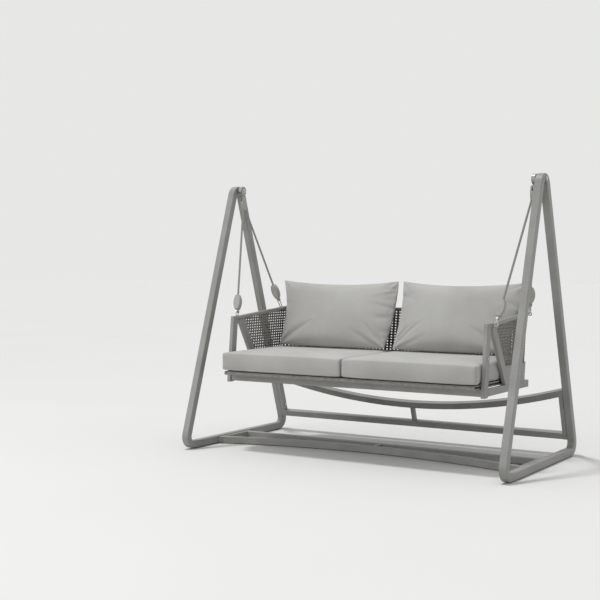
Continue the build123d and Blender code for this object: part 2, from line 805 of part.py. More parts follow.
screw_spots = [
    Vector(0, screw_front_y, seat_base_z + screw_rise),
    Vector(0, screw_rear_y, seat_base_z + screw_rise),
    Vector(0, post_y(post_screw_z) + post_depth / 2, post_screw_z),
]
with BuildPart() as bench_screws:
    for sign in sides.values():
        for spot in screw_spots:
            with Locations(inward(half_bench + screw_head, spot.Y, spot.Z, sign)):
                Cylinder(screw_radius, screw_head, align=bottom_up)
save(bench_screws.part, "bench_screws")

# ================================================================ soft parts
cushion_low_z = seat_base_z + platform_thickness + cushion_lift
cushion_front_y = platform_front_y - cushion_overhang
cushion_back_y = platform_back_y - soft_gap
cushion_half = post_inner_x - cushion_side_gap
for side, sign in sides.items():
    with BuildPart() as seat_cushion:
        with BuildSketch(Plane.XY.offset(cushion_low_z)):
            with Locations((sign * (cushion_half + soft_gap / 2) / 2, (cushion_front_y + cushion_back_y) / 2)):
                Rectangle(cushion_half - soft_gap / 2, cushion_back_y - cushion_front_y)
        extrude(amount=cushion_height)
        fillet(seat_cushion.edges(), radius=cushion_radius)
    save(seat_cushion.part, f"seat_cushion_{side}")

pillow_angle = radians(pillow_lean)
pillow_width = post_inner_x - pillow_side_gap - pillow_gap / 2
pillow_dip = pillow_radius * (1 - cos(pillow_angle)) + (pillow_thickness / 2 - pillow_radius) * sin(pillow_angle)
pillow_foot_z = cushion_low_z + cushion_height + pillow_dip + soft_gap
for side, sign in sides.items():
    pillow_plane = Plane(
        origin=(sign * (pillow_width + pillow_gap) / 2, pillow_foot_y, pillow_foot_z),
        x_dir=(1, 0, 0),
        z_dir=(0, -cos(pillow_angle), sin(pillow_angle)),
    )
    with BuildPart() as back_pillow:
        with BuildSketch(pillow_plane):
            with Locations((0, pillow_height / 2)):
                Rectangle(pillow_width, pillow_height)
        extrude(amount=pillow_thickness / 2, both=True)
        fillet(back_pillow.edges(), radius=pillow_radius)
    save(back_pillow.part, f"back_pillow_{side}")
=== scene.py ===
# %% [markdown]
# # A porch swing for two
# The hard parts of this swing (tube frames, bars, pivots, clasps, bolts) come ready made from the
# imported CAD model, and stay exactly where they are. This lesson gives them their finishes and makes
# what CAD can't show: braided ropes, the open woven shell, the cord-wrapped seat and the soft goods.

# %% Load the fixed frame
import json
from math import atan2, cos, degrees, pi, radians, sin

import bmesh
import bpy
import numpy as np
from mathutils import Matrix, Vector


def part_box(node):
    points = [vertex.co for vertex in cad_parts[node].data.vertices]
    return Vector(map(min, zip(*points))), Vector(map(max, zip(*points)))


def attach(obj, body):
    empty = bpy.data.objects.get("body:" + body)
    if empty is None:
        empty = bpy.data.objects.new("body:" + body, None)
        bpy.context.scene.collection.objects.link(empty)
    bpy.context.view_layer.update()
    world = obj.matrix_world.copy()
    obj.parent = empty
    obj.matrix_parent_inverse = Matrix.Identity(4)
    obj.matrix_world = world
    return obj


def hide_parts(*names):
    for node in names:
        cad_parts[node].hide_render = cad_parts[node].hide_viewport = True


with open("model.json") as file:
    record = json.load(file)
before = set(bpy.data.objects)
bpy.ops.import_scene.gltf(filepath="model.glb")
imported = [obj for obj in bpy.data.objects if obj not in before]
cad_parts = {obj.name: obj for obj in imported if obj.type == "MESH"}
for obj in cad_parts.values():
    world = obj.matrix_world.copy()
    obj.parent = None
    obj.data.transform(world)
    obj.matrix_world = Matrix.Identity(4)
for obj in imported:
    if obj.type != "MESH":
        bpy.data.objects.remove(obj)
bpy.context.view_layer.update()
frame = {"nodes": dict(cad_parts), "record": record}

nodes = frame["nodes"]
scene = bpy.context.scene

# %% [markdown]
# ## The camera
# The swing is seen from the front right at about chest height, with a long lens, so its upright
# legs stay nearly parallel. The lens axis dips by less than two degrees.

# %% Place the camera
camera_place = (3.330, -6.185, 1.178)
camera_turn = 32.22         # degrees, to the left of straight ahead
camera_dip = 1.82           # degrees below the horizon
camera = bpy.data.objects.new("camera", bpy.data.cameras.new("camera"))
camera.data.lens = 67.34
camera.data.sensor_width = 36.0
camera.location = camera_place
camera.rotation_euler = (radians(90 - camera_dip), 0, radians(camera_turn))
scene.collection.objects.link(camera)
scene.camera = camera
print("camera looks along", [round(v, 3) for v in camera.rotation_euler.to_matrix() @ Vector((0, 0, -1))])

# %% [markdown]
# ## Small helpers
# Every finish is a node tree built here in the script. `shade` makes a material with one
# Principled shader, and `add` places a node and links its inputs, so that each recipe below
# reads as a short list of what feeds what.

# %% Helpers for materials
def shade(name, roughness, metallic=0.0, **sockets):
    material = bpy.data.materials.new(name)
    material.use_nodes = True
    shader = material.node_tree.nodes["Principled BSDF"]
    shader.inputs["Roughness"].default_value = roughness
    shader.inputs["Metallic"].default_value = metallic
    for socket, value in sockets.items():
        shader.inputs[socket.replace("_", " ")].default_value = value
    return material


def add(material, kind, settings=None, **inputs):
    tree = material.node_tree
    node = tree.nodes.new(kind)
    for name, value in (settings or {}).items():
        setattr(node, name, value)
    for name, value in inputs.items():
        socket = node.inputs[int(name[1:])] if name[0] == "_" else node.inputs[name.replace("_", " ")]
        if isinstance(value, bpy.types.NodeSocket):
            tree.links.new(value, socket)
        else:
            socket.default_value = value
    return node


def plug(material, socket_name, value):
    material.node_tree.links.new(value, material.node_tree.nodes["Principled BSDF"].inputs[socket_name])


def object_place(material):
    return add(material, "ShaderNodeTexCoord").outputs["Object"]


def noise(material, place, scale, detail=3.0):
    return add(material, "ShaderNodeTexNoise", Vector=place, Scale=scale, Detail=detail).outputs["Fac"]


def ramp(material, value, low, high, dark, light):
    """Colour from dark to light as value goes from low to high."""
    node = add(material, "ShaderNodeValToRGB", Fac=value)
    ends = node.color_ramp.elements
    ends[0].position = low
    ends[0].color = (*dark, 1)
    ends[1].position = high
    ends[1].color = (*light, 1)
    return node.outputs["Color"]


def vary(material, value, low, high):
    """value, from 0.3 to 0.7, mapped to low..high."""
    node = add(material, "ShaderNodeMapRange", Value=value, From_Min=0.3, From_Max=0.7,
               To_Min=low, To_Max=high)
    return node.outputs["Result"]


def relief(material, height, distance, strength=1.0):
    bump = add(material, "ShaderNodeBump", Strength=strength, Distance=distance, Height=height)
    plug(material, "Normal", bump.outputs["Normal"])

# %% [markdown]
# ## Painted tube
# The frame is powder coated in a warm mid grey. Powder coat is never quite flat: it has a fine
# orange-peel skin, cloudy patches where the coat is a little thicker, and faint drawn lines
# along the tube under it. Two noises and a stretched one give those, all on Object coordinates,
# so the pattern stays on the tube when the seat swings.

# %% Finish for the painted frame
def painted_metal(name, dark, light):
    paint = shade(name, 0.5, Specular_IOR_Level=0.4, Coat_Weight=0.08, Coat_Roughness=0.35)
    place = object_place(paint)
    clouds = noise(paint, place, 7.0, 4.0)
    grain_map = add(paint, "ShaderNodeMapping", Vector=place)
    grain_map.inputs["Scale"].default_value = (260.0, 260.0, 9.0)
    drawn = noise(paint, grain_map.outputs["Vector"], 1.0, 2.0)
    mix = add(paint, "ShaderNodeMath", {"operation": "MULTIPLY_ADD"}, _0=drawn, _1=0.35, _2=clouds)
    plug(paint, "Base Color", ramp(paint, mix.outputs[0], 0.45, 0.9, dark, light))
    plug(paint, "Roughness", vary(paint, clouds, 0.42, 0.58))
    relief(paint, noise(paint, place, 900.0, 1.0), 0.00012, 0.35)
    return paint


frame_paint = painted_metal("frame_paint", (0.206, 0.205, 0.195), (0.264, 0.262, 0.249))
bench_paint = painted_metal("bench_paint", (0.218, 0.216, 0.206), (0.276, 0.274, 0.261))
print("painted finishes:", frame_paint.name, bench_paint.name)

# %% [markdown]
# ## Bright hardware, plastic and rubber
# Shackles, pins, bolts and screws are stainless steel with fine turning marks. The rope clasps
# and pods are moulded plastic in the frame's colour, with a leather-like micro texture. The
# glides under the feet are dark plastic.

# %% Finishes for fittings
def steel(name, tone, roughness):
    metal = shade(name, roughness, 1.0)
    place = object_place(metal)
    scratches = add(metal, "ShaderNodeMapping", Vector=place)
    scratches.inputs["Scale"].default_value = (2200.0, 900.0, 300.0)
    lines = noise(metal, scratches.outputs["Vector"], 1.0, 2.0)
    low = tuple(0.8 * c for c in tone)
    plug(metal, "Base Color", ramp(metal, lines, 0.3, 0.7, low, tone))
    plug(metal, "Roughness", vary(metal, noise(metal, place, 60.0), roughness - 0.06, roughness + 0.1))
    relief(metal, lines, 0.00003, 0.4)
    return metal


def moulded(name, dark, light, roughness):
    plastic = shade(name, roughness, Specular_IOR_Level=0.4)
    place = object_place(plastic)
    skin = add(plastic, "ShaderNodeTexVoronoi", Vector=place, Scale=700.0).outputs["Distance"]
    patches = noise(plastic, place, 40.0)
    plug(plastic, "Base Color", ramp(plastic, patches, 0.3, 0.7, dark, light))
    plug(plastic, "Roughness", vary(plastic, patches, roughness - 0.06, roughness + 0.06))
    relief(plastic, skin, 0.00015, 0.3)
    return plastic


bright_steel = steel("bright_steel", (0.62, 0.61, 0.59), 0.3)
satin_steel = steel("satin_steel", (0.33, 0.325, 0.31), 0.42)
pod_plastic = moulded("pod_plastic", (0.275, 0.27, 0.252), (0.345, 0.34, 0.318), 0.55)
bearing_plastic = moulded("bearing_plastic", (0.62, 0.62, 0.6), (0.7, 0.7, 0.68), 0.4)
glide_plastic = moulded("glide_plastic", (0.02, 0.02, 0.02), (0.035, 0.035, 0.035), 0.6)

# %% Give the carried-over CAD nodes their finishes
finish_of_slot = {
    "frame_paint": frame_paint,
    "pivot_metal": satin_steel,
    "hardware": bright_steel,
    "pod_plastic": pod_plastic,
    "bearing_plastic": bearing_plastic,
    "glide": glide_plastic,
}
bench_painted = ("front_post", "side_rail", "front_rail", "rear_rail", "seat_cross", "arm_rail", "arm_band",
                 "shell_base", "back_uprights")
slot_of_node = {part["node"]: part["material_slot"] for part in frame["record"]["subparts"]}
for name, node in nodes.items():
    finish = finish_of_slot.get(slot_of_node[name], frame_paint)
    if name.startswith(bench_painted):
        finish = bench_paint
    node.data.materials.clear()
    node.data.materials.append(finish)
print("finished", len(nodes), "CAD nodes")

# %% [markdown]
# ## Helpers for Geometry Nodes
# What repeats on this swing is grown by Geometry Nodes: the strands of the woven shell, the
# cord wound round the seat, and the strands of the ropes. `new_tree` makes a group with named
# inputs, `grow` runs it once on a base object and keeps the result as a plain mesh.

# %% Helpers for Geometry Nodes
socket_kinds = {float: "NodeSocketFloat", int: "NodeSocketInt", bpy.types.Material: "NodeSocketMaterial"}


def new_tree(name, sizes):
    tree = bpy.data.node_groups.new(name, "GeometryNodeTree")
    tree.interface.new_socket("Geometry", in_out="INPUT", socket_type="NodeSocketGeometry")
    for label, value in sizes.items():
        kind = bpy.types.Material if isinstance(value, bpy.types.Material) else type(value)
        tree.interface.new_socket(label, in_out="INPUT", socket_type=socket_kinds[kind])
    tree.interface.new_socket("Geometry", in_out="OUTPUT", socket_type="NodeSocketGeometry")
    source = tree.nodes.new("NodeGroupInput").outputs
    return tree, source


def put(tree, kind, settings=None, **inputs):
    """Adds a node; an input is given by name, or by _number, as a value or another node's output."""
    node = tree.nodes.new(kind)
    for name, value in (settings or {}).items():
        setattr(node, name, value)
    for name, value in inputs.items():
        socket = node.inputs[int(name[1:])] if name[0] == "_" else node.inputs[name.replace("_", " ")]
        if isinstance(value, bpy.types.NodeSocket):
            tree.links.new(value, socket)
        else:
            socket.default_value = value
    return node


def calc(tree, operation, *values):
    inputs = {f"_{i}": value for i, value in enumerate(values)}
    return put(tree, "ShaderNodeMath", {"operation": operation}, **inputs).outputs[0]


def place_of(tree):
    """X, Y and Z of each point."""
    position = put(tree, "GeometryNodeInputPosition").outputs[0]
    parts = put(tree, "ShaderNodeSeparateXYZ", Vector=position).outputs
    return parts["X"], parts["Y"], parts["Z"]


def vector(tree, x, y, z):
    return put(tree, "ShaderNodeCombineXYZ", X=x, Y=y, Z=z).outputs[0]


def finish_tree(tree, geometry, material):
    real = put(tree, "GeometryNodeRealizeInstances", Geometry=geometry).outputs[0]
    painted = put(tree, "GeometryNodeSetMaterial", Geometry=real, Material=material).outputs[0]
    smooth = put(tree, "GeometryNodeSetShadeSmooth", Geometry=painted).outputs[0]
    out = tree.nodes.new("NodeGroupOutput")
    tree.links.new(smooth, out.inputs[0])


def grow(base, tree, sizes, name):
    """Runs a node tree on a base object and returns its result as a plain mesh object."""
    modifier = base.modifiers.new(name, "NODES")
    modifier.node_group = tree
    for item in tree.interface.items_tree:
        if item.in_out == "INPUT" and item.name in sizes:
            modifier[item.identifier] = sizes[item.name]
    bpy.context.view_layer.update()
    evaluated = base.evaluated_get(bpy.context.evaluated_depsgraph_get())
    mesh = bpy.data.meshes.new_from_object(evaluated)
    base.modifiers.remove(modifier)
    shape = bmesh.new()
    shape.from_mesh(mesh)
    bmesh.ops.delete(shape, geom=[v for v in shape.verts if not v.link_faces], context="VERTS")
    shape.to_mesh(mesh)
    shape.free()
    piece = bpy.data.objects.new(name, mesh)
    scene.collection.objects.link(piece)
    print(name, len(mesh.vertices), "points,", len(mesh.polygons), "faces")
    return piece


def drop(thing):
    bpy.data.objects.remove(thing)

# %% [markdown]
# ## The ropes
# The bench hangs from four ropes, always taut. Each leaves its clasp and runs straight down into
# its pod. A rope's route is a smooth NURBS line, and its three twisted strands are helices round
# that line, grown with Geometry Nodes: the line is cut into short steps, each step is pushed
# sideways by a turning angle, and a round profile is swept along.

# %% Rope finish and the strand tree
rope_cloth = shade("rope_cloth", 0.85, Sheen_Weight=0.25, Sheen_Roughness=0.5)
rope_fuzz = noise(rope_cloth, object_place(rope_cloth), 1500.0, 2.0)
rope_dark, rope_light = (0.2, 0.195, 0.182), (0.3, 0.295, 0.277)
plug(rope_cloth, "Base Color", ramp(rope_cloth, rope_fuzz, 0.3, 0.7, rope_dark, rope_light))
relief(rope_cloth, rope_fuzz, 0.0003, 0.6)

rope_radius = 0.007
rope_sizes = {"Rope Radius": rope_radius, "Twist Length": 0.036, "Strands": 3, "Finish": rope_cloth}
rope_tree, rope_in = new_tree("rope_strands", rope_sizes)
steps = put(rope_tree, "GeometryNodeResampleCurve", Curve=rope_in["Geometry"], Count=160).outputs[0]
copies = put(rope_tree, "GeometryNodeDuplicateElements", {"domain": "SPLINE"}, Geometry=steps,
             Amount=rope_in["Strands"])
along = put(rope_tree, "GeometryNodeSplineParameter").outputs["Length"]
turn = calc(rope_tree, "DIVIDE", along, rope_in["Twist Length"])
share = calc(rope_tree, "DIVIDE", copies.outputs[1], rope_in["Strands"])
angle = calc(rope_tree, "MULTIPLY", calc(rope_tree, "ADD", turn, share), 2 * pi)
across = put(rope_tree, "GeometryNodeInputNormal").outputs[0]
forward = put(rope_tree, "GeometryNodeInputTangent").outputs[0]
sideways = put(rope_tree, "ShaderNodeVectorRotate", {"rotation_type": "AXIS_ANGLE"}, Vector=across,
               Axis=forward, Angle=angle).outputs[0]
push = put(rope_tree, "ShaderNodeVectorMath", {"operation": "SCALE"}, Vector=sideways,
           Scale=calc(rope_tree, "MULTIPLY", rope_in["Rope Radius"], 0.5)).outputs[0]
helix = put(rope_tree, "GeometryNodeSetPosition", Geometry=copies.outputs[0], Offset=push).outputs[0]
strand_round = put(rope_tree, "GeometryNodeCurvePrimitiveCircle", Resolution=8,
                   Radius=calc(rope_tree, "MULTIPLY", rope_in["Rope Radius"], 0.52)).outputs[0]
strands = put(rope_tree, "GeometryNodeCurveToMesh", Curve=helix, Profile_Curve=strand_round,
              Fill_Caps=True).outputs[0]
finish_tree(rope_tree, strands, rope_in["Finish"])

# %% Make the four ropes
def rope_ends(node):
    """The two ends of the rope's axis, read from the end faces of its CAD cylinder."""
    points = np.array([v.co for v in nodes[node].data.vertices])
    centre = points.mean(axis=0)
    axis = np.linalg.svd(points - centre)[2][0]
    axis = axis if axis[2] > 0 else -axis
    run = (points - centre) @ axis
    low_face = points[run < run.min() + 0.0005]
    foot = (low_face.min(axis=0) + low_face.max(axis=0)) / 2
    return Vector(foot), Vector(foot + axis * (run.max() - run.min()))


for end in ("front", "rear"):
    for side in ("left", "right"):
        node = f"rope_{end}_{side}"
        foot, head = rope_ends(node)
        line = bpy.data.curves.new(node + "_route", "CURVE")
        line.dimensions = "3D"
        spline = line.splines.new("NURBS")
        spline.points.add(3)
        for i, point in enumerate(spline.points):
            point.co = (*foot.lerp(head, i / 3), 1)
        spline.order_u = 3
        spline.use_endpoint_u = True
        line.resolution_u = 24
        route = bpy.data.objects.new(node + "_route", line)
        scene.collection.objects.link(route)
        route_mesh = bpy.data.meshes.new_from_object(route)
        rope = grow(route, rope_tree, rope_sizes, node + "_strands")
        drop(route)
        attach(rope, "seat")
        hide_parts(node)
        print(node, "length", round((head - foot).length, 4))

# %% [markdown]
# ## The woven shell
# Arms and back are one band of flat synthetic cane, woven as a grid of doubled strands with
# small square holes. It is easiest to weave it flat and bend it afterwards. In the flat, X runs
# along the shell and Y up it. Warp and weft pass over and under each other with a cosine wave,
# and then every point is moved onto the shell: along a U-shaped plan curve, leaning back with
# height, and out along the curve's normal by the wave's depth.

# %% Cane finish
cane = shade("woven_cane", 0.55, Specular_IOR_Level=0.35, Sheen_Weight=0.1)
cane_place = object_place(cane)
cane_tone = noise(cane, cane_place, 90.0, 3.0)
plug(cane, "Base Color", ramp(cane, cane_tone, 0.3, 0.72, (0.118, 0.112, 0.1), (0.2, 0.193, 0.176)))
cane_grain = noise(cane, cane_place, 1400.0, 2.0)
plug(cane, "Roughness", vary(cane, cane_grain, 0.48, 0.66))
relief(cane, cane_grain, 0.0002, 0.5)

# %% Read the shell's shape from the frame
base_low, base_high = (Vector(c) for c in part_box("shell_base_rail"))
rail_low, rail_high = (Vector(c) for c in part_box("arm_rail"))
arm_tube = 0.025
weave_inset = 0.010         # the weave's middle, in from the shell's outer face
plan_radius = 0.080 - weave_inset
weave_z = base_high.z
back_points = np.array([v.co for v in nodes["shell_base_rail"].data.vertices])
top_points = back_points[np.abs(back_points[:, 2] - base_high.z) < 1e-4]
foot_points = back_points[np.abs(back_points[:, 2] - base_low.z) < 1e-4]
back_y = float(top_points[:, 1].max())
back_lean = (back_y - float(foot_points[:, 1].max())) / (base_high.z - base_low.z)
side_x = base_high.x - weave_inset
print("back leans", round(degrees(atan2(back_lean, 1)), 2), "degrees; outer face at", round(back_y, 4))

band_low = Vector(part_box("arm_band_right")[0])
band_points = np.array([v.co for v in nodes["arm_band_right"].data.vertices])
band_rear_low = float(band_points[np.abs(band_points[:, 2] - band_low.z) < 1e-3][:, 1].max())
band_slope = 0.5914         # how far the band's edges run forward for each metre up
rail_rise = (rail_high.z - (rail_low.z + arm_tube)) / (rail_high.y - rail_low.y)
print("band's rear edge at the foot", round(band_rear_low, 4), "rail rises", round(rail_rise, 4))

# %% The plan curve the weave follows
row_pitch = 0.0174
first_row = 0.6 * row_pitch     # the lowest row, above the base rail
corner_steps = 16
plan_back_y = back_y - weave_inset + back_lean * first_row
plan_front_y = -0.30
split_y = back_y - 0.080 + back_lean * first_row
plan_line = [(-side_x, plan_front_y)]
for sign in (-1, 1):
    for i in range(corner_steps + 1):
        bend = pi / 2 * i / corner_steps
        out, back = (sin(bend), cos(bend)) if sign > 0 else (cos(bend), sin(bend))
        plan_line.append((sign * (side_x - plan_radius + plan_radius * out),
                          plan_back_y - plan_radius + plan_radius * back))
plan_line.append((side_x, plan_front_y))
plan_curve = bpy.data.curves.new("shell_plan", "CURVE")
plan_curve.dimensions = "3D"
plan_spline = plan_curve.splines.new("POLY")
plan_spline.points.add(len(plan_line) - 1)
for point, (x, y) in zip(plan_spline.points, plan_line):
    point.co = (x, y, weave_z + first_row, 1)
plan = bpy.data.objects.new("shell_plan", plan_curve)
scene.collection.objects.link(plan)
plan_length = sum((Vector(a) - Vector(b)).length for a, b in zip(plan_line, plan_line[1:]))
side_run = split_y - plan_front_y
print("plan is", round(plan_length, 3), "m long, each side", round(side_run, 3))

# %% The weaving tree
weave_sizes = {
    "From": 0.0, "To": 1.0, "Rows": 17, "Columns": 40, "First Column": 0,
    "Row Pitch": row_pitch, "Column Pitch": 0.026, "Row Width": 0.0054, "Column Width": 0.0084,
    "Strand Thickness": 0.0028, "Wave Depth": 0.0017, "Lean": back_lean, "Base": weave_z + first_row,
    "Band Foot Y": band_rear_low, "Band Foot Z": band_low.z, "Band Slope": band_slope,
    "Rail Front Y": rail_low.y, "Rail Front Z": rail_low.z, "Rail Rise": rail_rise,
    "Hidden End": 0.006, "Finish": cane,
}
weave_tree, weave_in = new_tree("woven_shell", weave_sizes)
wt = weave_tree


def on_plan(along):
    """Place and outward direction on the plan curve, at a length along it."""
    spot = put(wt, "GeometryNodeSampleCurve", {"mode": "LENGTH"}, Curves=weave_in["Geometry"], Length=along)
    outward = put(wt, "ShaderNodeVectorMath", {"operation": "CROSS_PRODUCT"}, _0=(0, 0, 1),
                  _1=spot.outputs["Tangent"])
    return spot.outputs["Position"], outward.outputs[0]


def outside_frame(s, h):
    """True where the shell's band or rail, and not the weave, is at this place in the flat."""
    place, _ = on_plan(s)
    plan_y = put(wt, "ShaderNodeSeparateXYZ", Vector=place).outputs["Y"]
    y = calc(wt, "MULTIPLY_ADD", h, weave_in["Lean"], plan_y)
    z = calc(wt, "ADD", h, weave_in["Base"])
    above_foot = calc(wt, "SUBTRACT", z, weave_in["Band Foot Z"])
    run_forward = calc(wt, "MULTIPLY", above_foot, weave_in["Band Slope"])
    band_y = calc(wt, "SUBTRACT", weave_in["Band Foot Y"], run_forward)
    behind_front = calc(wt, "SUBTRACT", y, weave_in["Rail Front Y"])
    rail_z = calc(wt, "MULTIPLY_ADD", behind_front, weave_in["Rail Rise"], weave_in["Rail Front Z"])
    before_band = calc(wt, "LESS_THAN", y, calc(wt, "SUBTRACT", band_y, weave_in["Hidden End"]))
    in_rail = calc(wt, "GREATER_THAN", z, calc(wt, "ADD", rail_z, weave_in["Hidden End"]))
    return calc(wt, "MAXIMUM", before_band, in_rail)


def strand_family(rows):
    """Doubled strands in the flat: rows run along X, columns run up Y."""
    pitch = weave_in["Row Pitch" if rows else "Column Pitch"]
    cross_pitch = weave_in["Column Pitch" if rows else "Row Pitch"]
    width = weave_in["Row Width" if rows else "Column Width"]
    count = calc(wt, "MULTIPLY", weave_in["Rows" if rows else "Columns"], 2.0)
    spots = put(wt, "GeometryNodePoints", Count=count).outputs[0]
    index = put(wt, "GeometryNodeInputIndex").outputs[0]
    pair = calc(wt, "FLOOR", calc(wt, "DIVIDE", index, 2.0))
    twin = calc(wt, "SUBTRACT", calc(wt, "MODULO", index, 2.0), 0.5)
    if rows:
        row_at = calc(wt, "MULTIPLY_ADD", twin, width, calc(wt, "MULTIPLY", pair, pitch))
        spot = vector(wt, weave_in["From"], row_at, 0.0)
        end = vector(wt, calc(wt, "SUBTRACT", weave_in["To"], weave_in["From"]), 0.0, 0.0)
    else:
        pair = calc(wt, "ADD", pair, weave_in["First Column"])
        aside = calc(wt, "MULTIPLY_ADD", twin, width, calc(wt, "MULTIPLY", pair, pitch))
        spot = vector(wt, calc(wt, "ADD", aside, weave_in["From"]), -0.016, 0.0)
        end = vector(wt, 0.0, 0.33, 0.0)
    spots = put(wt, "GeometryNodeSetPosition", Geometry=spots, Position=spot).outputs[0]
    line = put(wt, "GeometryNodeCurvePrimitiveLine", End=end).outputs[0]
    step = calc(wt, "DIVIDE", cross_pitch, 3.0)
    line = put(wt, "GeometryNodeResampleCurve", {"mode": "LENGTH"}, Curve=line, Length=step).outputs[0]
    laid = put(wt, "GeometryNodeInstanceOnPoints", Points=spots, Instance=line).outputs[0]
    laid = put(wt, "GeometryNodeRealizeInstances", Geometry=laid).outputs[0]
    s, h, _ = place_of(wt)
    laid = put(wt, "GeometryNodeDeleteGeometry", {"domain": "POINT"}, Geometry=laid,
               Selection=outside_frame(s, h)).outputs[0]
    run = calc(wt, "SUBTRACT", s, weave_in["From"])
    own, other = (h, run) if rows else (run, h)
    level = calc(wt, "COSINE", calc(wt, "MULTIPLY", calc(wt, "ROUND", calc(wt, "DIVIDE", own, pitch)), pi))
    ripple = calc(wt, "COSINE", calc(wt, "MULTIPLY", calc(wt, "DIVIDE", other, cross_pitch), pi))
    depth = calc(wt, "MULTIPLY", weave_in["Wave Depth"], 1.0 if rows else -1.0)
    lift = calc(wt, "MULTIPLY", calc(wt, "MULTIPLY", level, ripple), depth)
    waved = put(wt, "GeometryNodeSetPosition", Geometry=laid, Offset=vector(wt, 0.0, 0.0, lift)).outputs[0]
    oval = put(wt, "GeometryNodeCurvePrimitiveCircle", Resolution=6, Radius=0.5).outputs[0]
    oval = put(wt, "GeometryNodeTransform", Geometry=oval,
               Scale=vector(wt, width, weave_in["Strand Thickness"], 1.0)).outputs[0]
    return put(wt, "GeometryNodeCurveToMesh", Curve=waved, Profile_Curve=oval, Fill_Caps=True).outputs[0]


both = put(wt, "GeometryNodeJoinGeometry")
for strands in (strand_family(True), strand_family(False)):
    wt.links.new(strands, both.inputs[0])
s, h, depth = place_of(wt)
place, outward = on_plan(s)
out_by = put(wt, "ShaderNodeVectorMath", {"operation": "SCALE"}, _0=outward, Scale=depth).outputs[0]
up_by = vector(wt, 0.0, calc(wt, "MULTIPLY", h, weave_in["Lean"]), h)
bent = put(wt, "ShaderNodeVectorMath", {"operation": "ADD"}, _0=place, _1=out_by).outputs[0]
bent = put(wt, "ShaderNodeVectorMath", {"operation": "ADD"}, _0=bent, _1=up_by).outputs[0]
woven = put(wt, "GeometryNodeSetPosition", Geometry=both.outputs[0], Position=bent).outputs[0]
finish_tree(wt, woven, weave_in["Finish"])

# %% Weave the back and both arms
side_columns = 2 * round(side_run / 0.052)
back_columns = 2 * round((plan_length - 2 * side_run) / 0.052)
shell_parts = {
    "woven_side_left": (0.0, side_run, side_columns, 0, side_columns),
    "woven_back": (side_run, plan_length - side_run, back_columns + 1, 0, back_columns),
    "woven_side_right": (plan_length - side_run, plan_length, side_columns, 1, side_columns),
}
for node, (start, stop, columns, first, spaces) in shell_parts.items():
    weave_sizes.update({"From": start, "To": stop, "Columns": columns, "First Column": first,
                        "Column Pitch": (stop - start) / spaces})
    shell = grow(plan, weave_tree, weave_sizes, node + "_cane")
    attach(shell, "seat")
    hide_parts(node)
drop(plan)

# %% [markdown]
# ## The cord-wrapped seat
# Under the cushions is a flat seat platform, wound from front to back with cord, turn beside turn.
# One turn is a rounded rectangle standing across the seat; Geometry Nodes repeats it along the
# bench, with a little seeded wander so that no two turns are the same, and draws the turns near
# the rear corners in, where the shell's frame curves round them.

# %% Wrapped cord finish and tree
wrap_cord = shade("wrap_cord", 0.8, Sheen_Weight=0.15)
wrap_place = object_place(wrap_cord)
wrap_tone = noise(wrap_cord, wrap_place, 55.0, 4.0)
wrap_fibre = noise(wrap_cord, wrap_place, 1300.0, 2.0)
plug(wrap_cord, "Base Color", ramp(wrap_cord, wrap_tone, 0.3, 0.7, (0.2, 0.195, 0.18), (0.3, 0.294, 0.275)))
relief(wrap_cord, wrap_fibre, 0.0003, 0.6)

seat_low, seat_high = (Vector(c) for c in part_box("seat_platform"))
cord_radius = 0.0038
wrap_sizes = {
    "Turns": int((seat_high.x - seat_low.x) / (2 * cord_radius)), "Cord Radius": cord_radius,
    "Start": seat_low.x + cord_radius, "Pitch": 2 * cord_radius, "Depth": seat_high.y - seat_low.y,
    "Height": seat_high.z - seat_low.z, "Front Roll": 0.0082, "Wander": 0.0003,
    "Centre Y": (seat_high.y + seat_low.y) / 2, "Centre Z": (seat_high.z + seat_low.z) / 2,
    "Half Width": seat_high.x, "Corner": 0.060, "Seed": 7, "Finish": wrap_cord,
}
wrap_tree, wrap_in = new_tree("wound_seat", wrap_sizes)
pt = wrap_tree
across = calc(pt, "MULTIPLY_ADD", wrap_in["Cord Radius"], -2.0, wrap_in["Depth"])
tall = calc(pt, "MULTIPLY_ADD", wrap_in["Cord Radius"], -2.0, wrap_in["Height"])
loop = put(pt, "GeometryNodeCurvePrimitiveQuadrilateral", Width=across, Height=tall).outputs[0]
loop = put(pt, "GeometryNodeFilletCurve", {"mode": "POLY"}, Curve=loop, Radius=wrap_in["Front Roll"],
           Count=4).outputs[0]
loop = put(pt, "GeometryNodeTransform", Geometry=loop, Rotation=(pi / 2, 0, pi / 2)).outputs[0]
spots = put(pt, "GeometryNodePoints", Count=wrap_in["Turns"]).outputs[0]
index = put(pt, "GeometryNodeInputIndex").outputs[0]
wander = put(pt, "FunctionNodeRandomValue", Max=1.0, Seed=wrap_in["Seed"]).outputs["Value"]
jitter = calc(pt, "MULTIPLY", calc(pt, "SUBTRACT", wander, 0.5), wrap_in["Wander"])
x = calc(pt, "ADD", calc(pt, "MULTIPLY_ADD", index, wrap_in["Pitch"], wrap_in["Start"]), jitter)
spots = put(pt, "GeometryNodeSetPosition", Geometry=spots,
            Position=vector(pt, x, wrap_in["Centre Y"], wrap_in["Centre Z"])).outputs[0]
turns = put(pt, "GeometryNodeInstanceOnPoints", Points=spots, Instance=loop).outputs[0]
turns = put(pt, "GeometryNodeRealizeInstances", Geometry=turns).outputs[0]
cord_round = put(pt, "GeometryNodeCurvePrimitiveCircle", Resolution=8,
                 Radius=wrap_in["Cord Radius"]).outputs[0]
turns = put(pt, "GeometryNodeCurveToMesh", Curve=turns, Profile_Curve=cord_round).outputs[0]
x, y, _ = place_of(pt)
from_end = calc(pt, "SUBTRACT", wrap_in["Half Width"], calc(pt, "ABSOLUTE", x))
into_corner = calc(pt, "MAXIMUM", calc(pt, "SUBTRACT", wrap_in["Corner"], from_end), 0.0)
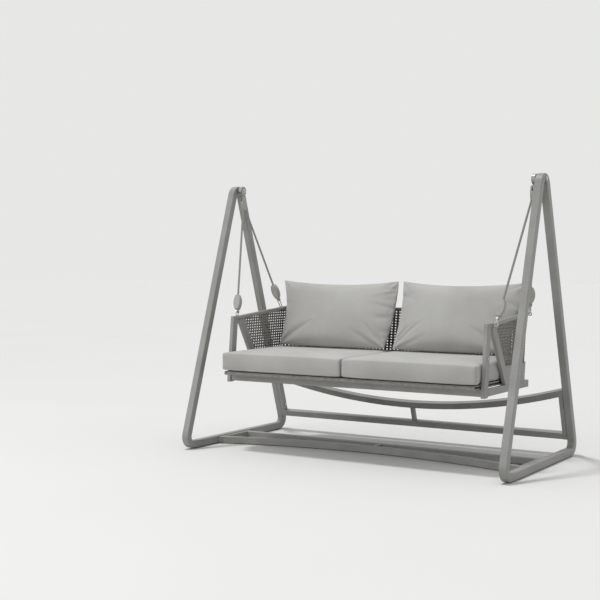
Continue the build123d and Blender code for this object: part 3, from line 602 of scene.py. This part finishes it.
reach = calc(pt, "SQRT", calc(pt, "SUBTRACT", calc(pt, "MULTIPLY", wrap_in["Corner"], wrap_in["Corner"]),
                             calc(pt, "MULTIPLY", into_corner, into_corner)))
draw_in = calc(pt, "MULTIPLY", calc(pt, "SUBTRACT", wrap_in["Corner"], reach),
               calc(pt, "GREATER_THAN", y, wrap_in["Centre Y"]))
turns = put(pt, "GeometryNodeSetPosition", Geometry=turns,
            Offset=vector(pt, 0.0, calc(pt, "MULTIPLY", draw_in, -1.0), 0.0)).outputs[0]
finish_tree(pt, turns, wrap_in["Finish"])

# %% Wind the seat
bobbin = bpy.data.objects.new("bobbin", bpy.data.meshes.new("bobbin"))
scene.collection.objects.link(bobbin)
wound = grow(bobbin, wrap_tree, wrap_sizes, "wound_seat_cord")
drop(bobbin)
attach(wound, "seat")
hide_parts("seat_platform")

# %% [markdown]
# ## Cushions and pillows
# Two box cushions lie on the wound seat and two loose pillows lean on the woven back. Each starts
# as a plain closed shape close to the finished one, and is blown up for twenty frames as cloth,
# with its seams held still, which fills the panels between them. How far a point may travel is
# capped, so the piece keeps its size. The larger forms are shaped before and after.

# %% Fabric finish
def upholstery(name, dark, light):
    """Plain-woven outdoor fabric on a UV map in metres: two crossed thread waves and a slub."""
    cloth = shade(name, 0.9, Sheen_Weight=0.35, Sheen_Roughness=0.45, Specular_IOR_Level=0.2)
    uv = add(cloth, "ShaderNodeUVMap", {"uv_map": "weave"}).outputs["UV"]
    threads = []
    for axis in ("X", "Y"):
        wave = add(cloth, "ShaderNodeTexWave", {"bands_direction": axis, "wave_profile": "SIN"},
                   Vector=uv, Scale=150.0, Distortion=0.6, Detail=1.0, Detail_Scale=2.0)
        threads.append(wave.outputs["Fac"])
    crossing = add(cloth, "ShaderNodeMath", {"operation": "MULTIPLY"},
                   _0=threads[0], _1=threads[1]).outputs[0]
    slub_map = add(cloth, "ShaderNodeMapping", Vector=uv)
    slub_map.inputs["Scale"].default_value = (30.0, 420.0, 1.0)
    slub = noise(cloth, slub_map.outputs["Vector"], 1.0, 3.0)
    soil = noise(cloth, object_place(cloth), 3.2, 3.0)
    tone = add(cloth, "ShaderNodeMath", {"operation": "MULTIPLY_ADD"}, _0=slub, _1=0.45, _2=soil).outputs[0]
    plug(cloth, "Base Color", ramp(cloth, tone, 0.5, 0.95, dark, light))
    plug(cloth, "Roughness", vary(cloth, slub, 0.82, 0.97))
    height = add(cloth, "ShaderNodeMath", {"operation": "MULTIPLY_ADD"},
                 _0=slub, _1=0.5, _2=crossing).outputs[0]
    relief(cloth, height, 0.0004, 0.35)
    return cloth


cushion_cloth = upholstery("cushion_cloth", (0.305, 0.302, 0.292), (0.372, 0.369, 0.357))
pillow_cloth = upholstery("pillow_cloth", (0.305, 0.302, 0.292), (0.372, 0.369, 0.357))

# %% Helpers for filled covers
def coords(mesh):
    flat = np.empty(len(mesh.vertices) * 3)
    mesh.vertices.foreach_get("co", flat)
    return flat.reshape(-1, 3)


def set_coords(mesh, points):
    mesh.vertices.foreach_set("co", np.ascontiguousarray(points).ravel())
    mesh.update()


def cover(name, points, faces):
    mesh = bpy.data.meshes.new(name)
    mesh.from_pydata([tuple(p) for p in points], [], faces)
    piece = bpy.data.objects.new(name, mesh)
    scene.collection.objects.link(piece)
    return piece


def apply_modifier(piece):
    """Bakes the piece's modifiers into its mesh."""
    bpy.context.view_layer.update()
    evaluated = piece.evaluated_get(bpy.context.evaluated_depsgraph_get())
    mesh = bpy.data.meshes.new_from_object(evaluated)
    piece.modifiers.clear()
    piece.data = mesh


def remesh(piece, voxel):
    modifier = piece.modifiers.new("remesh", "REMESH")
    modifier.mode = "VOXEL"
    modifier.voxel_size = voxel
    apply_modifier(piece)


def blow_up(piece, pressure, cap, held):
    """Fills a closed cover as cloth, without gravity. Held points stay put; no point moves past cap."""
    start = coords(piece.data)
    group = piece.vertex_groups.new(name="held")
    group.add([int(i) for i in np.flatnonzero(held)], 1.0, "REPLACE")
    modifier = piece.modifiers.new("filling", "CLOTH")
    settings = modifier.settings
    settings.quality = 4
    settings.vertex_group_mass = "held"
    settings.use_pressure = True
    settings.uniform_pressure_force = pressure
    settings.effector_weights.gravity = 0.0
    modifier.collision_settings.use_collision = False
    modifier.point_cache.frame_start = 1
    modifier.point_cache.frame_end = 20
    for frame_number in range(1, 21):
        scene.frame_set(frame_number)
    apply_modifier(piece)
    scene.frame_set(1)
    moved = coords(piece.data) - start
    far = np.linalg.norm(moved, axis=1, keepdims=True)
    set_coords(piece.data, start + moved * cap * np.tanh(far / cap) / np.maximum(far, 1e-9))
    print(piece.name, "filled, widest move", round(float(far.max()) * 1000, 1), "mm, kept within", cap * 1000)


def subdivide(piece):
    modifier = piece.modifiers.new("smooth", "SUBSURF")
    modifier.levels = 1
    modifier.render_levels = 1
    apply_modifier(piece)


def normals(mesh):
    flat = np.empty(len(mesh.vertices) * 3)
    mesh.vertices.foreach_get("normal", flat)
    return flat.reshape(-1, 3)


def lay_weave(piece):
    """A UV map in metres, projected along whichever axis each face looks most, for the thread pattern."""
    mesh = piece.data
    points = coords(mesh)
    layer = mesh.uv_layers.new(name="weave")
    axes = np.empty(len(mesh.polygons) * 3)
    mesh.polygons.foreach_get("normal", axes)
    look = np.abs(axes.reshape(-1, 3)).argmax(axis=1)
    corner_point = np.empty(len(mesh.loops), dtype=int)
    mesh.loops.foreach_get("vertex_index", corner_point)
    totals = np.empty(len(mesh.polygons), dtype=int)
    mesh.polygons.foreach_get("loop_total", totals)
    corner_look = np.repeat(look, totals)
    place = points[corner_point]
    u = np.where(corner_look == 0, place[:, 1], place[:, 0])
    v = np.where(corner_look == 2, place[:, 1], place[:, 2])
    layer.data.foreach_set("uv", np.column_stack((u, v)).ravel())


def finish_cover(piece, cloth, node):
    piece.data.materials.clear()
    piece.data.materials.append(cloth)
    piece.data.polygons.foreach_set("use_smooth", [True] * len(piece.data.polygons))
    lay_weave(piece)
    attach(piece, "seat")
    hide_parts(node)
    low, high = coords(piece.data).min(axis=0), coords(piece.data).max(axis=0)
    print(piece.name, len(piece.data.polygons), "faces, from", low.round(3), "to", high.round(3))

# %% [markdown]
# ### Box cushions
# A box cushion has a top and a bottom panel joined by a side strip, so it carries two seams all
# round. The block is remeshed into an even net of small squares and filled. Then both seams are
# pressed in by a millimetre, the top is crowned, and the front corner beside the arm post swells
# out past the post. The bottom lies flat on the wound seat.

# %% Make a box cushion
def rounded_block(low, high, radius):
    """A box with rounded edges as points and faces: a finely cut cube pushed onto the rounded form."""
    shape = bmesh.new()
    bmesh.ops.create_cube(shape, size=2.0)
    bmesh.ops.subdivide_edges(shape, edges=shape.edges[:], cuts=9, use_grid_fill=True)
    centre, half = (low + high) / 2, (high - low) / 2
    for vertex in shape.verts:
        way = np.array(vertex.co)
        core = np.clip(way * half, -(half - radius), half - radius)
        out = way * half - core
        length = np.linalg.norm(out)
        if length > 1e-9:
            core = core + out / length * radius
        vertex.co = Vector(centre + core)
    mesh = bpy.data.meshes.new("block")
    shape.to_mesh(mesh)
    shape.free()
    return mesh


def off_seam(points, low, high, radius):
    """How far each point is from the nearer boxing seam, which runs along the block's rounded edges."""
    side = np.minimum(np.minimum(points[:, 0] - low[0], high[0] - points[:, 0]),
                      np.minimum(points[:, 1] - low[1], high[1] - points[:, 1]))
    flat = np.minimum(points[:, 2] - low[2], high[2] - points[:, 2])
    return np.where((flat < radius) & (side < radius), np.abs(flat - side), 1.0)


cushion_radius = 0.018
cushion_net = 0.0078
cushion_crown = 0.007
seam_depth = 0.001
post_front_y = -0.384       # in front of this the cushion is free to swell past the post
beside_post = 0.8555        # the furthest out it may reach beside the post
past_post_swell = 0.0165


def box_cushion(node):
    low, high = (np.array(c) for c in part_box(node))
    outer = 1.0 if low[0] + high[0] > 0 else -1.0
    start_low, start_high = low + (0.001, 0.003, 0.0005), high + (-0.001, -0.003, 0.004)
    block = rounded_block(start_low, start_high, cushion_radius)
    piece = bpy.data.objects.new(node + "_cover", block)
    scene.collection.objects.link(piece)
    remesh(piece, cushion_net)
    points = coords(piece.data)
    sewn = off_seam(points, start_low, start_high, cushion_radius)
    blow_up(piece, 3.0, 0.008, sewn < 0.008)
    press = seam_depth * np.exp(-(sewn / 0.005) ** 2)
    points = coords(piece.data) - normals(piece.data) * press[:, None]
    across = (points[:, 0] - (low[0] + high[0]) / 2) / ((high[0] - low[0]) / 2)
    along = (points[:, 1] - (low[1] + high[1]) / 2) / ((high[1] - low[1]) / 2)
    crown = np.sqrt(np.clip(1 - across ** 4, 0, 1) * np.clip(1 - along ** 4, 0, 1))
    upper = np.clip((points[:, 2] - low[2]) / (high[2] - low[2]), 0, 1)
    points[:, 2] += cushion_crown * crown * upper ** 2
    under_pillow = np.clip((points[:, 1] - 0.02) / 0.08, 0, 1)
    points[:, 2] = np.clip(points[:, 2], low[2] + 0.0005, high[2] + 0.013 - 0.005 * under_pillow)
    points[:, 1] = np.clip(points[:, 1], low[1] - 0.008, high[1])
    past_post = np.clip((post_front_y - points[:, 1]) / 0.03, 0, 1)
    end = outer * points[:, 0]
    end = end + 0.017 * past_post * np.clip((end - 0.70) / 0.15, 0, 1)
    end = np.clip(end, 0.001, beside_post + past_post_swell * past_post)
    points[:, 0] = outer * end
    set_coords(piece.data, points)
    subdivide(piece)
    finish_cover(piece, cushion_cloth, node)


for node in ("seat_cushion_left", "seat_cushion_right"):
    box_cushion(node)

# %% [markdown]
# ### Loose pillows
# A pillow is only two panels sewn together, so it has one seam round its rim, sharp corners, and
# sides that pull in between them as the filling pushes the panels apart. It is built lying in
# its own plane: U across, V up and W out to the front, and then leant back on the shell. Its lower
# half is fuller, as the filling sinks, and its foot is pushed forward a little by its own weight.

# %% Make a pillow
pillow_lean = radians(18)
pillow_height = 0.468
pillow_half_thick = 0.064
pillow_foot = (0.170, 0.626)        # depth and height of the seam at the foot, before it sags
foot_forward = 0.047
lowest_pillow = 0.6295
middle_gap = 0.003


def pillow(node, seed, corners, pulls):
    """corners: inner foot, inner top, outer foot and outer top, sideways from the middle.
    pulls: how far the inner and the outer side come in between their corners."""
    low, high = (np.array(c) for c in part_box(node))
    outer = 1.0 if low[0] + high[0] > 0 else -1.0
    columns, rows = 112, 60
    u, v = np.meshgrid(np.linspace(-1, 1, columns + 1), np.linspace(-1, 1, rows + 1))
    foot_in, top_in, foot_out, top_out = corners
    rise = (v + 1) / 2
    half_out = foot_out + (top_out - foot_out) * rise - pulls[1] * (1 - v ** 2)
    half_in = foot_in + (top_in - foot_in) * rise - pulls[0] * (1 - v ** 2)
    rim_u = u * np.where(u * outer > 0, half_out, half_in)
    rim_v = pillow_height * rise - (0.028 * rise ** 4 + 0.008 * (1 - rise) ** 4) * (1 - u ** 2)
    full = ((1 - np.abs(u) ** 4.5) * (1 - np.abs(v) ** 3)) ** 0.55
    thick = pillow_half_thick * full * (1.0 - 0.14 * v)
    wobble = np.random.default_rng(seed)
    folds = np.zeros_like(u)
    for corner_u in (-1, 1):
        for corner_v in (-1, 1):
            reach = np.hypot((u - corner_u) * 1.9, v - corner_v)
            turn = np.arctan2(np.abs(v - corner_v), np.abs(u - corner_u) * 1.9 + 1e-9)
            phase = wobble.uniform(0, 2 * pi)
            folds += 0.0050 * np.exp(-(reach / 0.55) ** 2) * (1 - np.exp(-(reach / 0.13) ** 2)) * np.sin(
                turn * 8 + phase)
    for _ in range(9):
        side = 1.0 if wobble.uniform() < 0.65 else -1.0
        height, width = wobble.uniform(-0.75, 0.75), wobble.uniform(0.05, 0.1)
        slope = wobble.uniform(-0.35, 0.35)
        from_rim = (1 - side * u) / 2
        line = (v - height - slope * from_rim * 4) / width
        fade = np.exp(-(from_rim / wobble.uniform(0.07, 0.16)) ** 2)
        folds -= 0.0075 * np.exp(-line ** 2) * fade * full ** 0.4
    middle_u = (low[0] + high[0]) / 2
    foot_y, foot_z = pillow_foot
    sag = foot_forward * (1 - rise) ** 2

    def place(w):
        forward = w + sag
        x = middle_u + rim_u
        y = foot_y + rim_v * sin(pillow_lean) - forward * cos(pillow_lean)
        z = foot_z + rim_v * cos(pillow_lean) + forward * sin(pillow_lean)
        return np.column_stack((x.ravel(), y.ravel(), z.ravel()))

    front = place(thick + folds * (full > 0.02))
    back = place(-thick * 0.85 + 0.5 * folds * (full > 0.02))
    stride = columns + 1
    index = np.arange((rows + 1) * stride).reshape(rows + 1, stride)
    inside = np.zeros(index.shape, dtype=bool)
    inside[1:-1, 1:-1] = True
    back_index = index.copy()
    back_index[inside] = len(front) + np.arange(inside.sum())
    points = np.vstack((front, back[inside.ravel()]))
    faces = []
    for r in range(rows):
        for c in range(columns):
            a, b = index[r, c], index[r, c + 1]
            d, e = index[r + 1, c + 1], index[r + 1, c]
            faces.append((int(a), int(b), int(d), int(e)))
            a, b = back_index[r, c], back_index[r, c + 1]
            d, e = back_index[r + 1, c + 1], back_index[r + 1, c]
            faces.append((int(e), int(d), int(b), int(a)))
    piece = cover(node + "_cover", points, faces)
    rim = np.zeros(len(points), dtype=bool)
    rim[index[~inside]] = True
    blow_up(piece, 4.0, 0.022, rim)
    subdivide(piece)
    points = coords(piece.data)
    points[:, 2] = np.maximum(points[:, 2], lowest_pillow)
    points[:, 0] = outer * np.maximum(outer * points[:, 0], middle_gap)
    set_coords(piece.data, points)
    finish_cover(piece, pillow_cloth, node)


pillow("back_pillow_left", 11, (0.412, 0.421, 0.389, 0.468), (-0.012, 0.030))
pillow("back_pillow_right", 23, (0.386, 0.402, 0.389, 0.468), (0.014, 0.022))

# %% [markdown]
# ## Floor and light
# A plain pale floor runs to the horizon, where it meets a backdrop of the same tone. A high sun,
# softened a little, comes from the front left and drops short shadows to the back right. A broad
# soft panel from the front left lifts the faces that look that way.

# %% Floor
floor_mesh = bpy.data.meshes.new("floor")
floor_half_side = 60.0
floor_mesh.from_pydata([(-floor_half_side, -floor_half_side, 0), (floor_half_side, -floor_half_side, 0),
                        (floor_half_side, floor_half_side, 0), (-floor_half_side, floor_half_side, 0)],
                       [], [(0, 1, 2, 3)])
floor = bpy.data.objects.new("floor", floor_mesh)
scene.collection.objects.link(floor)
floor_finish = shade("floor_finish", 0.9, Specular_IOR_Level=0.1)
floor_tone = noise(floor_finish, object_place(floor_finish), 0.7, 2.0)
floor_dark, floor_light = (0.59, 0.59, 0.585), (0.6, 0.6, 0.595)
plug(floor_finish, "Base Color", ramp(floor_finish, floor_tone, 0.3, 0.7, floor_dark, floor_light))
floor_mesh.materials.append(floor_finish)

# %% Light
world = bpy.data.worlds.new("studio")
scene.world = world
world.use_nodes = True
world.node_tree.nodes["Background"].inputs["Color"].default_value = (0.80, 0.80, 0.79, 1)
world.node_tree.nodes["Background"].inputs["Strength"].default_value = 1.0
scene.view_settings.view_transform = "Standard"


def lamp(name, kind, energy, come_from, **settings):
    light = bpy.data.lights.new(name, kind)
    light.energy = energy
    for key, value in settings.items():
        setattr(light, key, value)
    lit = bpy.data.objects.new(name, light)
    lit.location = come_from
    lit.rotation_euler = Vector(come_from).to_track_quat("Z", "Y").to_euler()
    scene.collection.objects.link(lit)
    return lit


sun = lamp("sun", "SUN", 1.8, (-2.033, -1.29, 9.706), angle=radians(7))
panel = lamp("front_panel", "AREA", 90.0, (-3.6, -6.0, 3.2), size=3.5)
print("lights:", sun.name, panel.name)
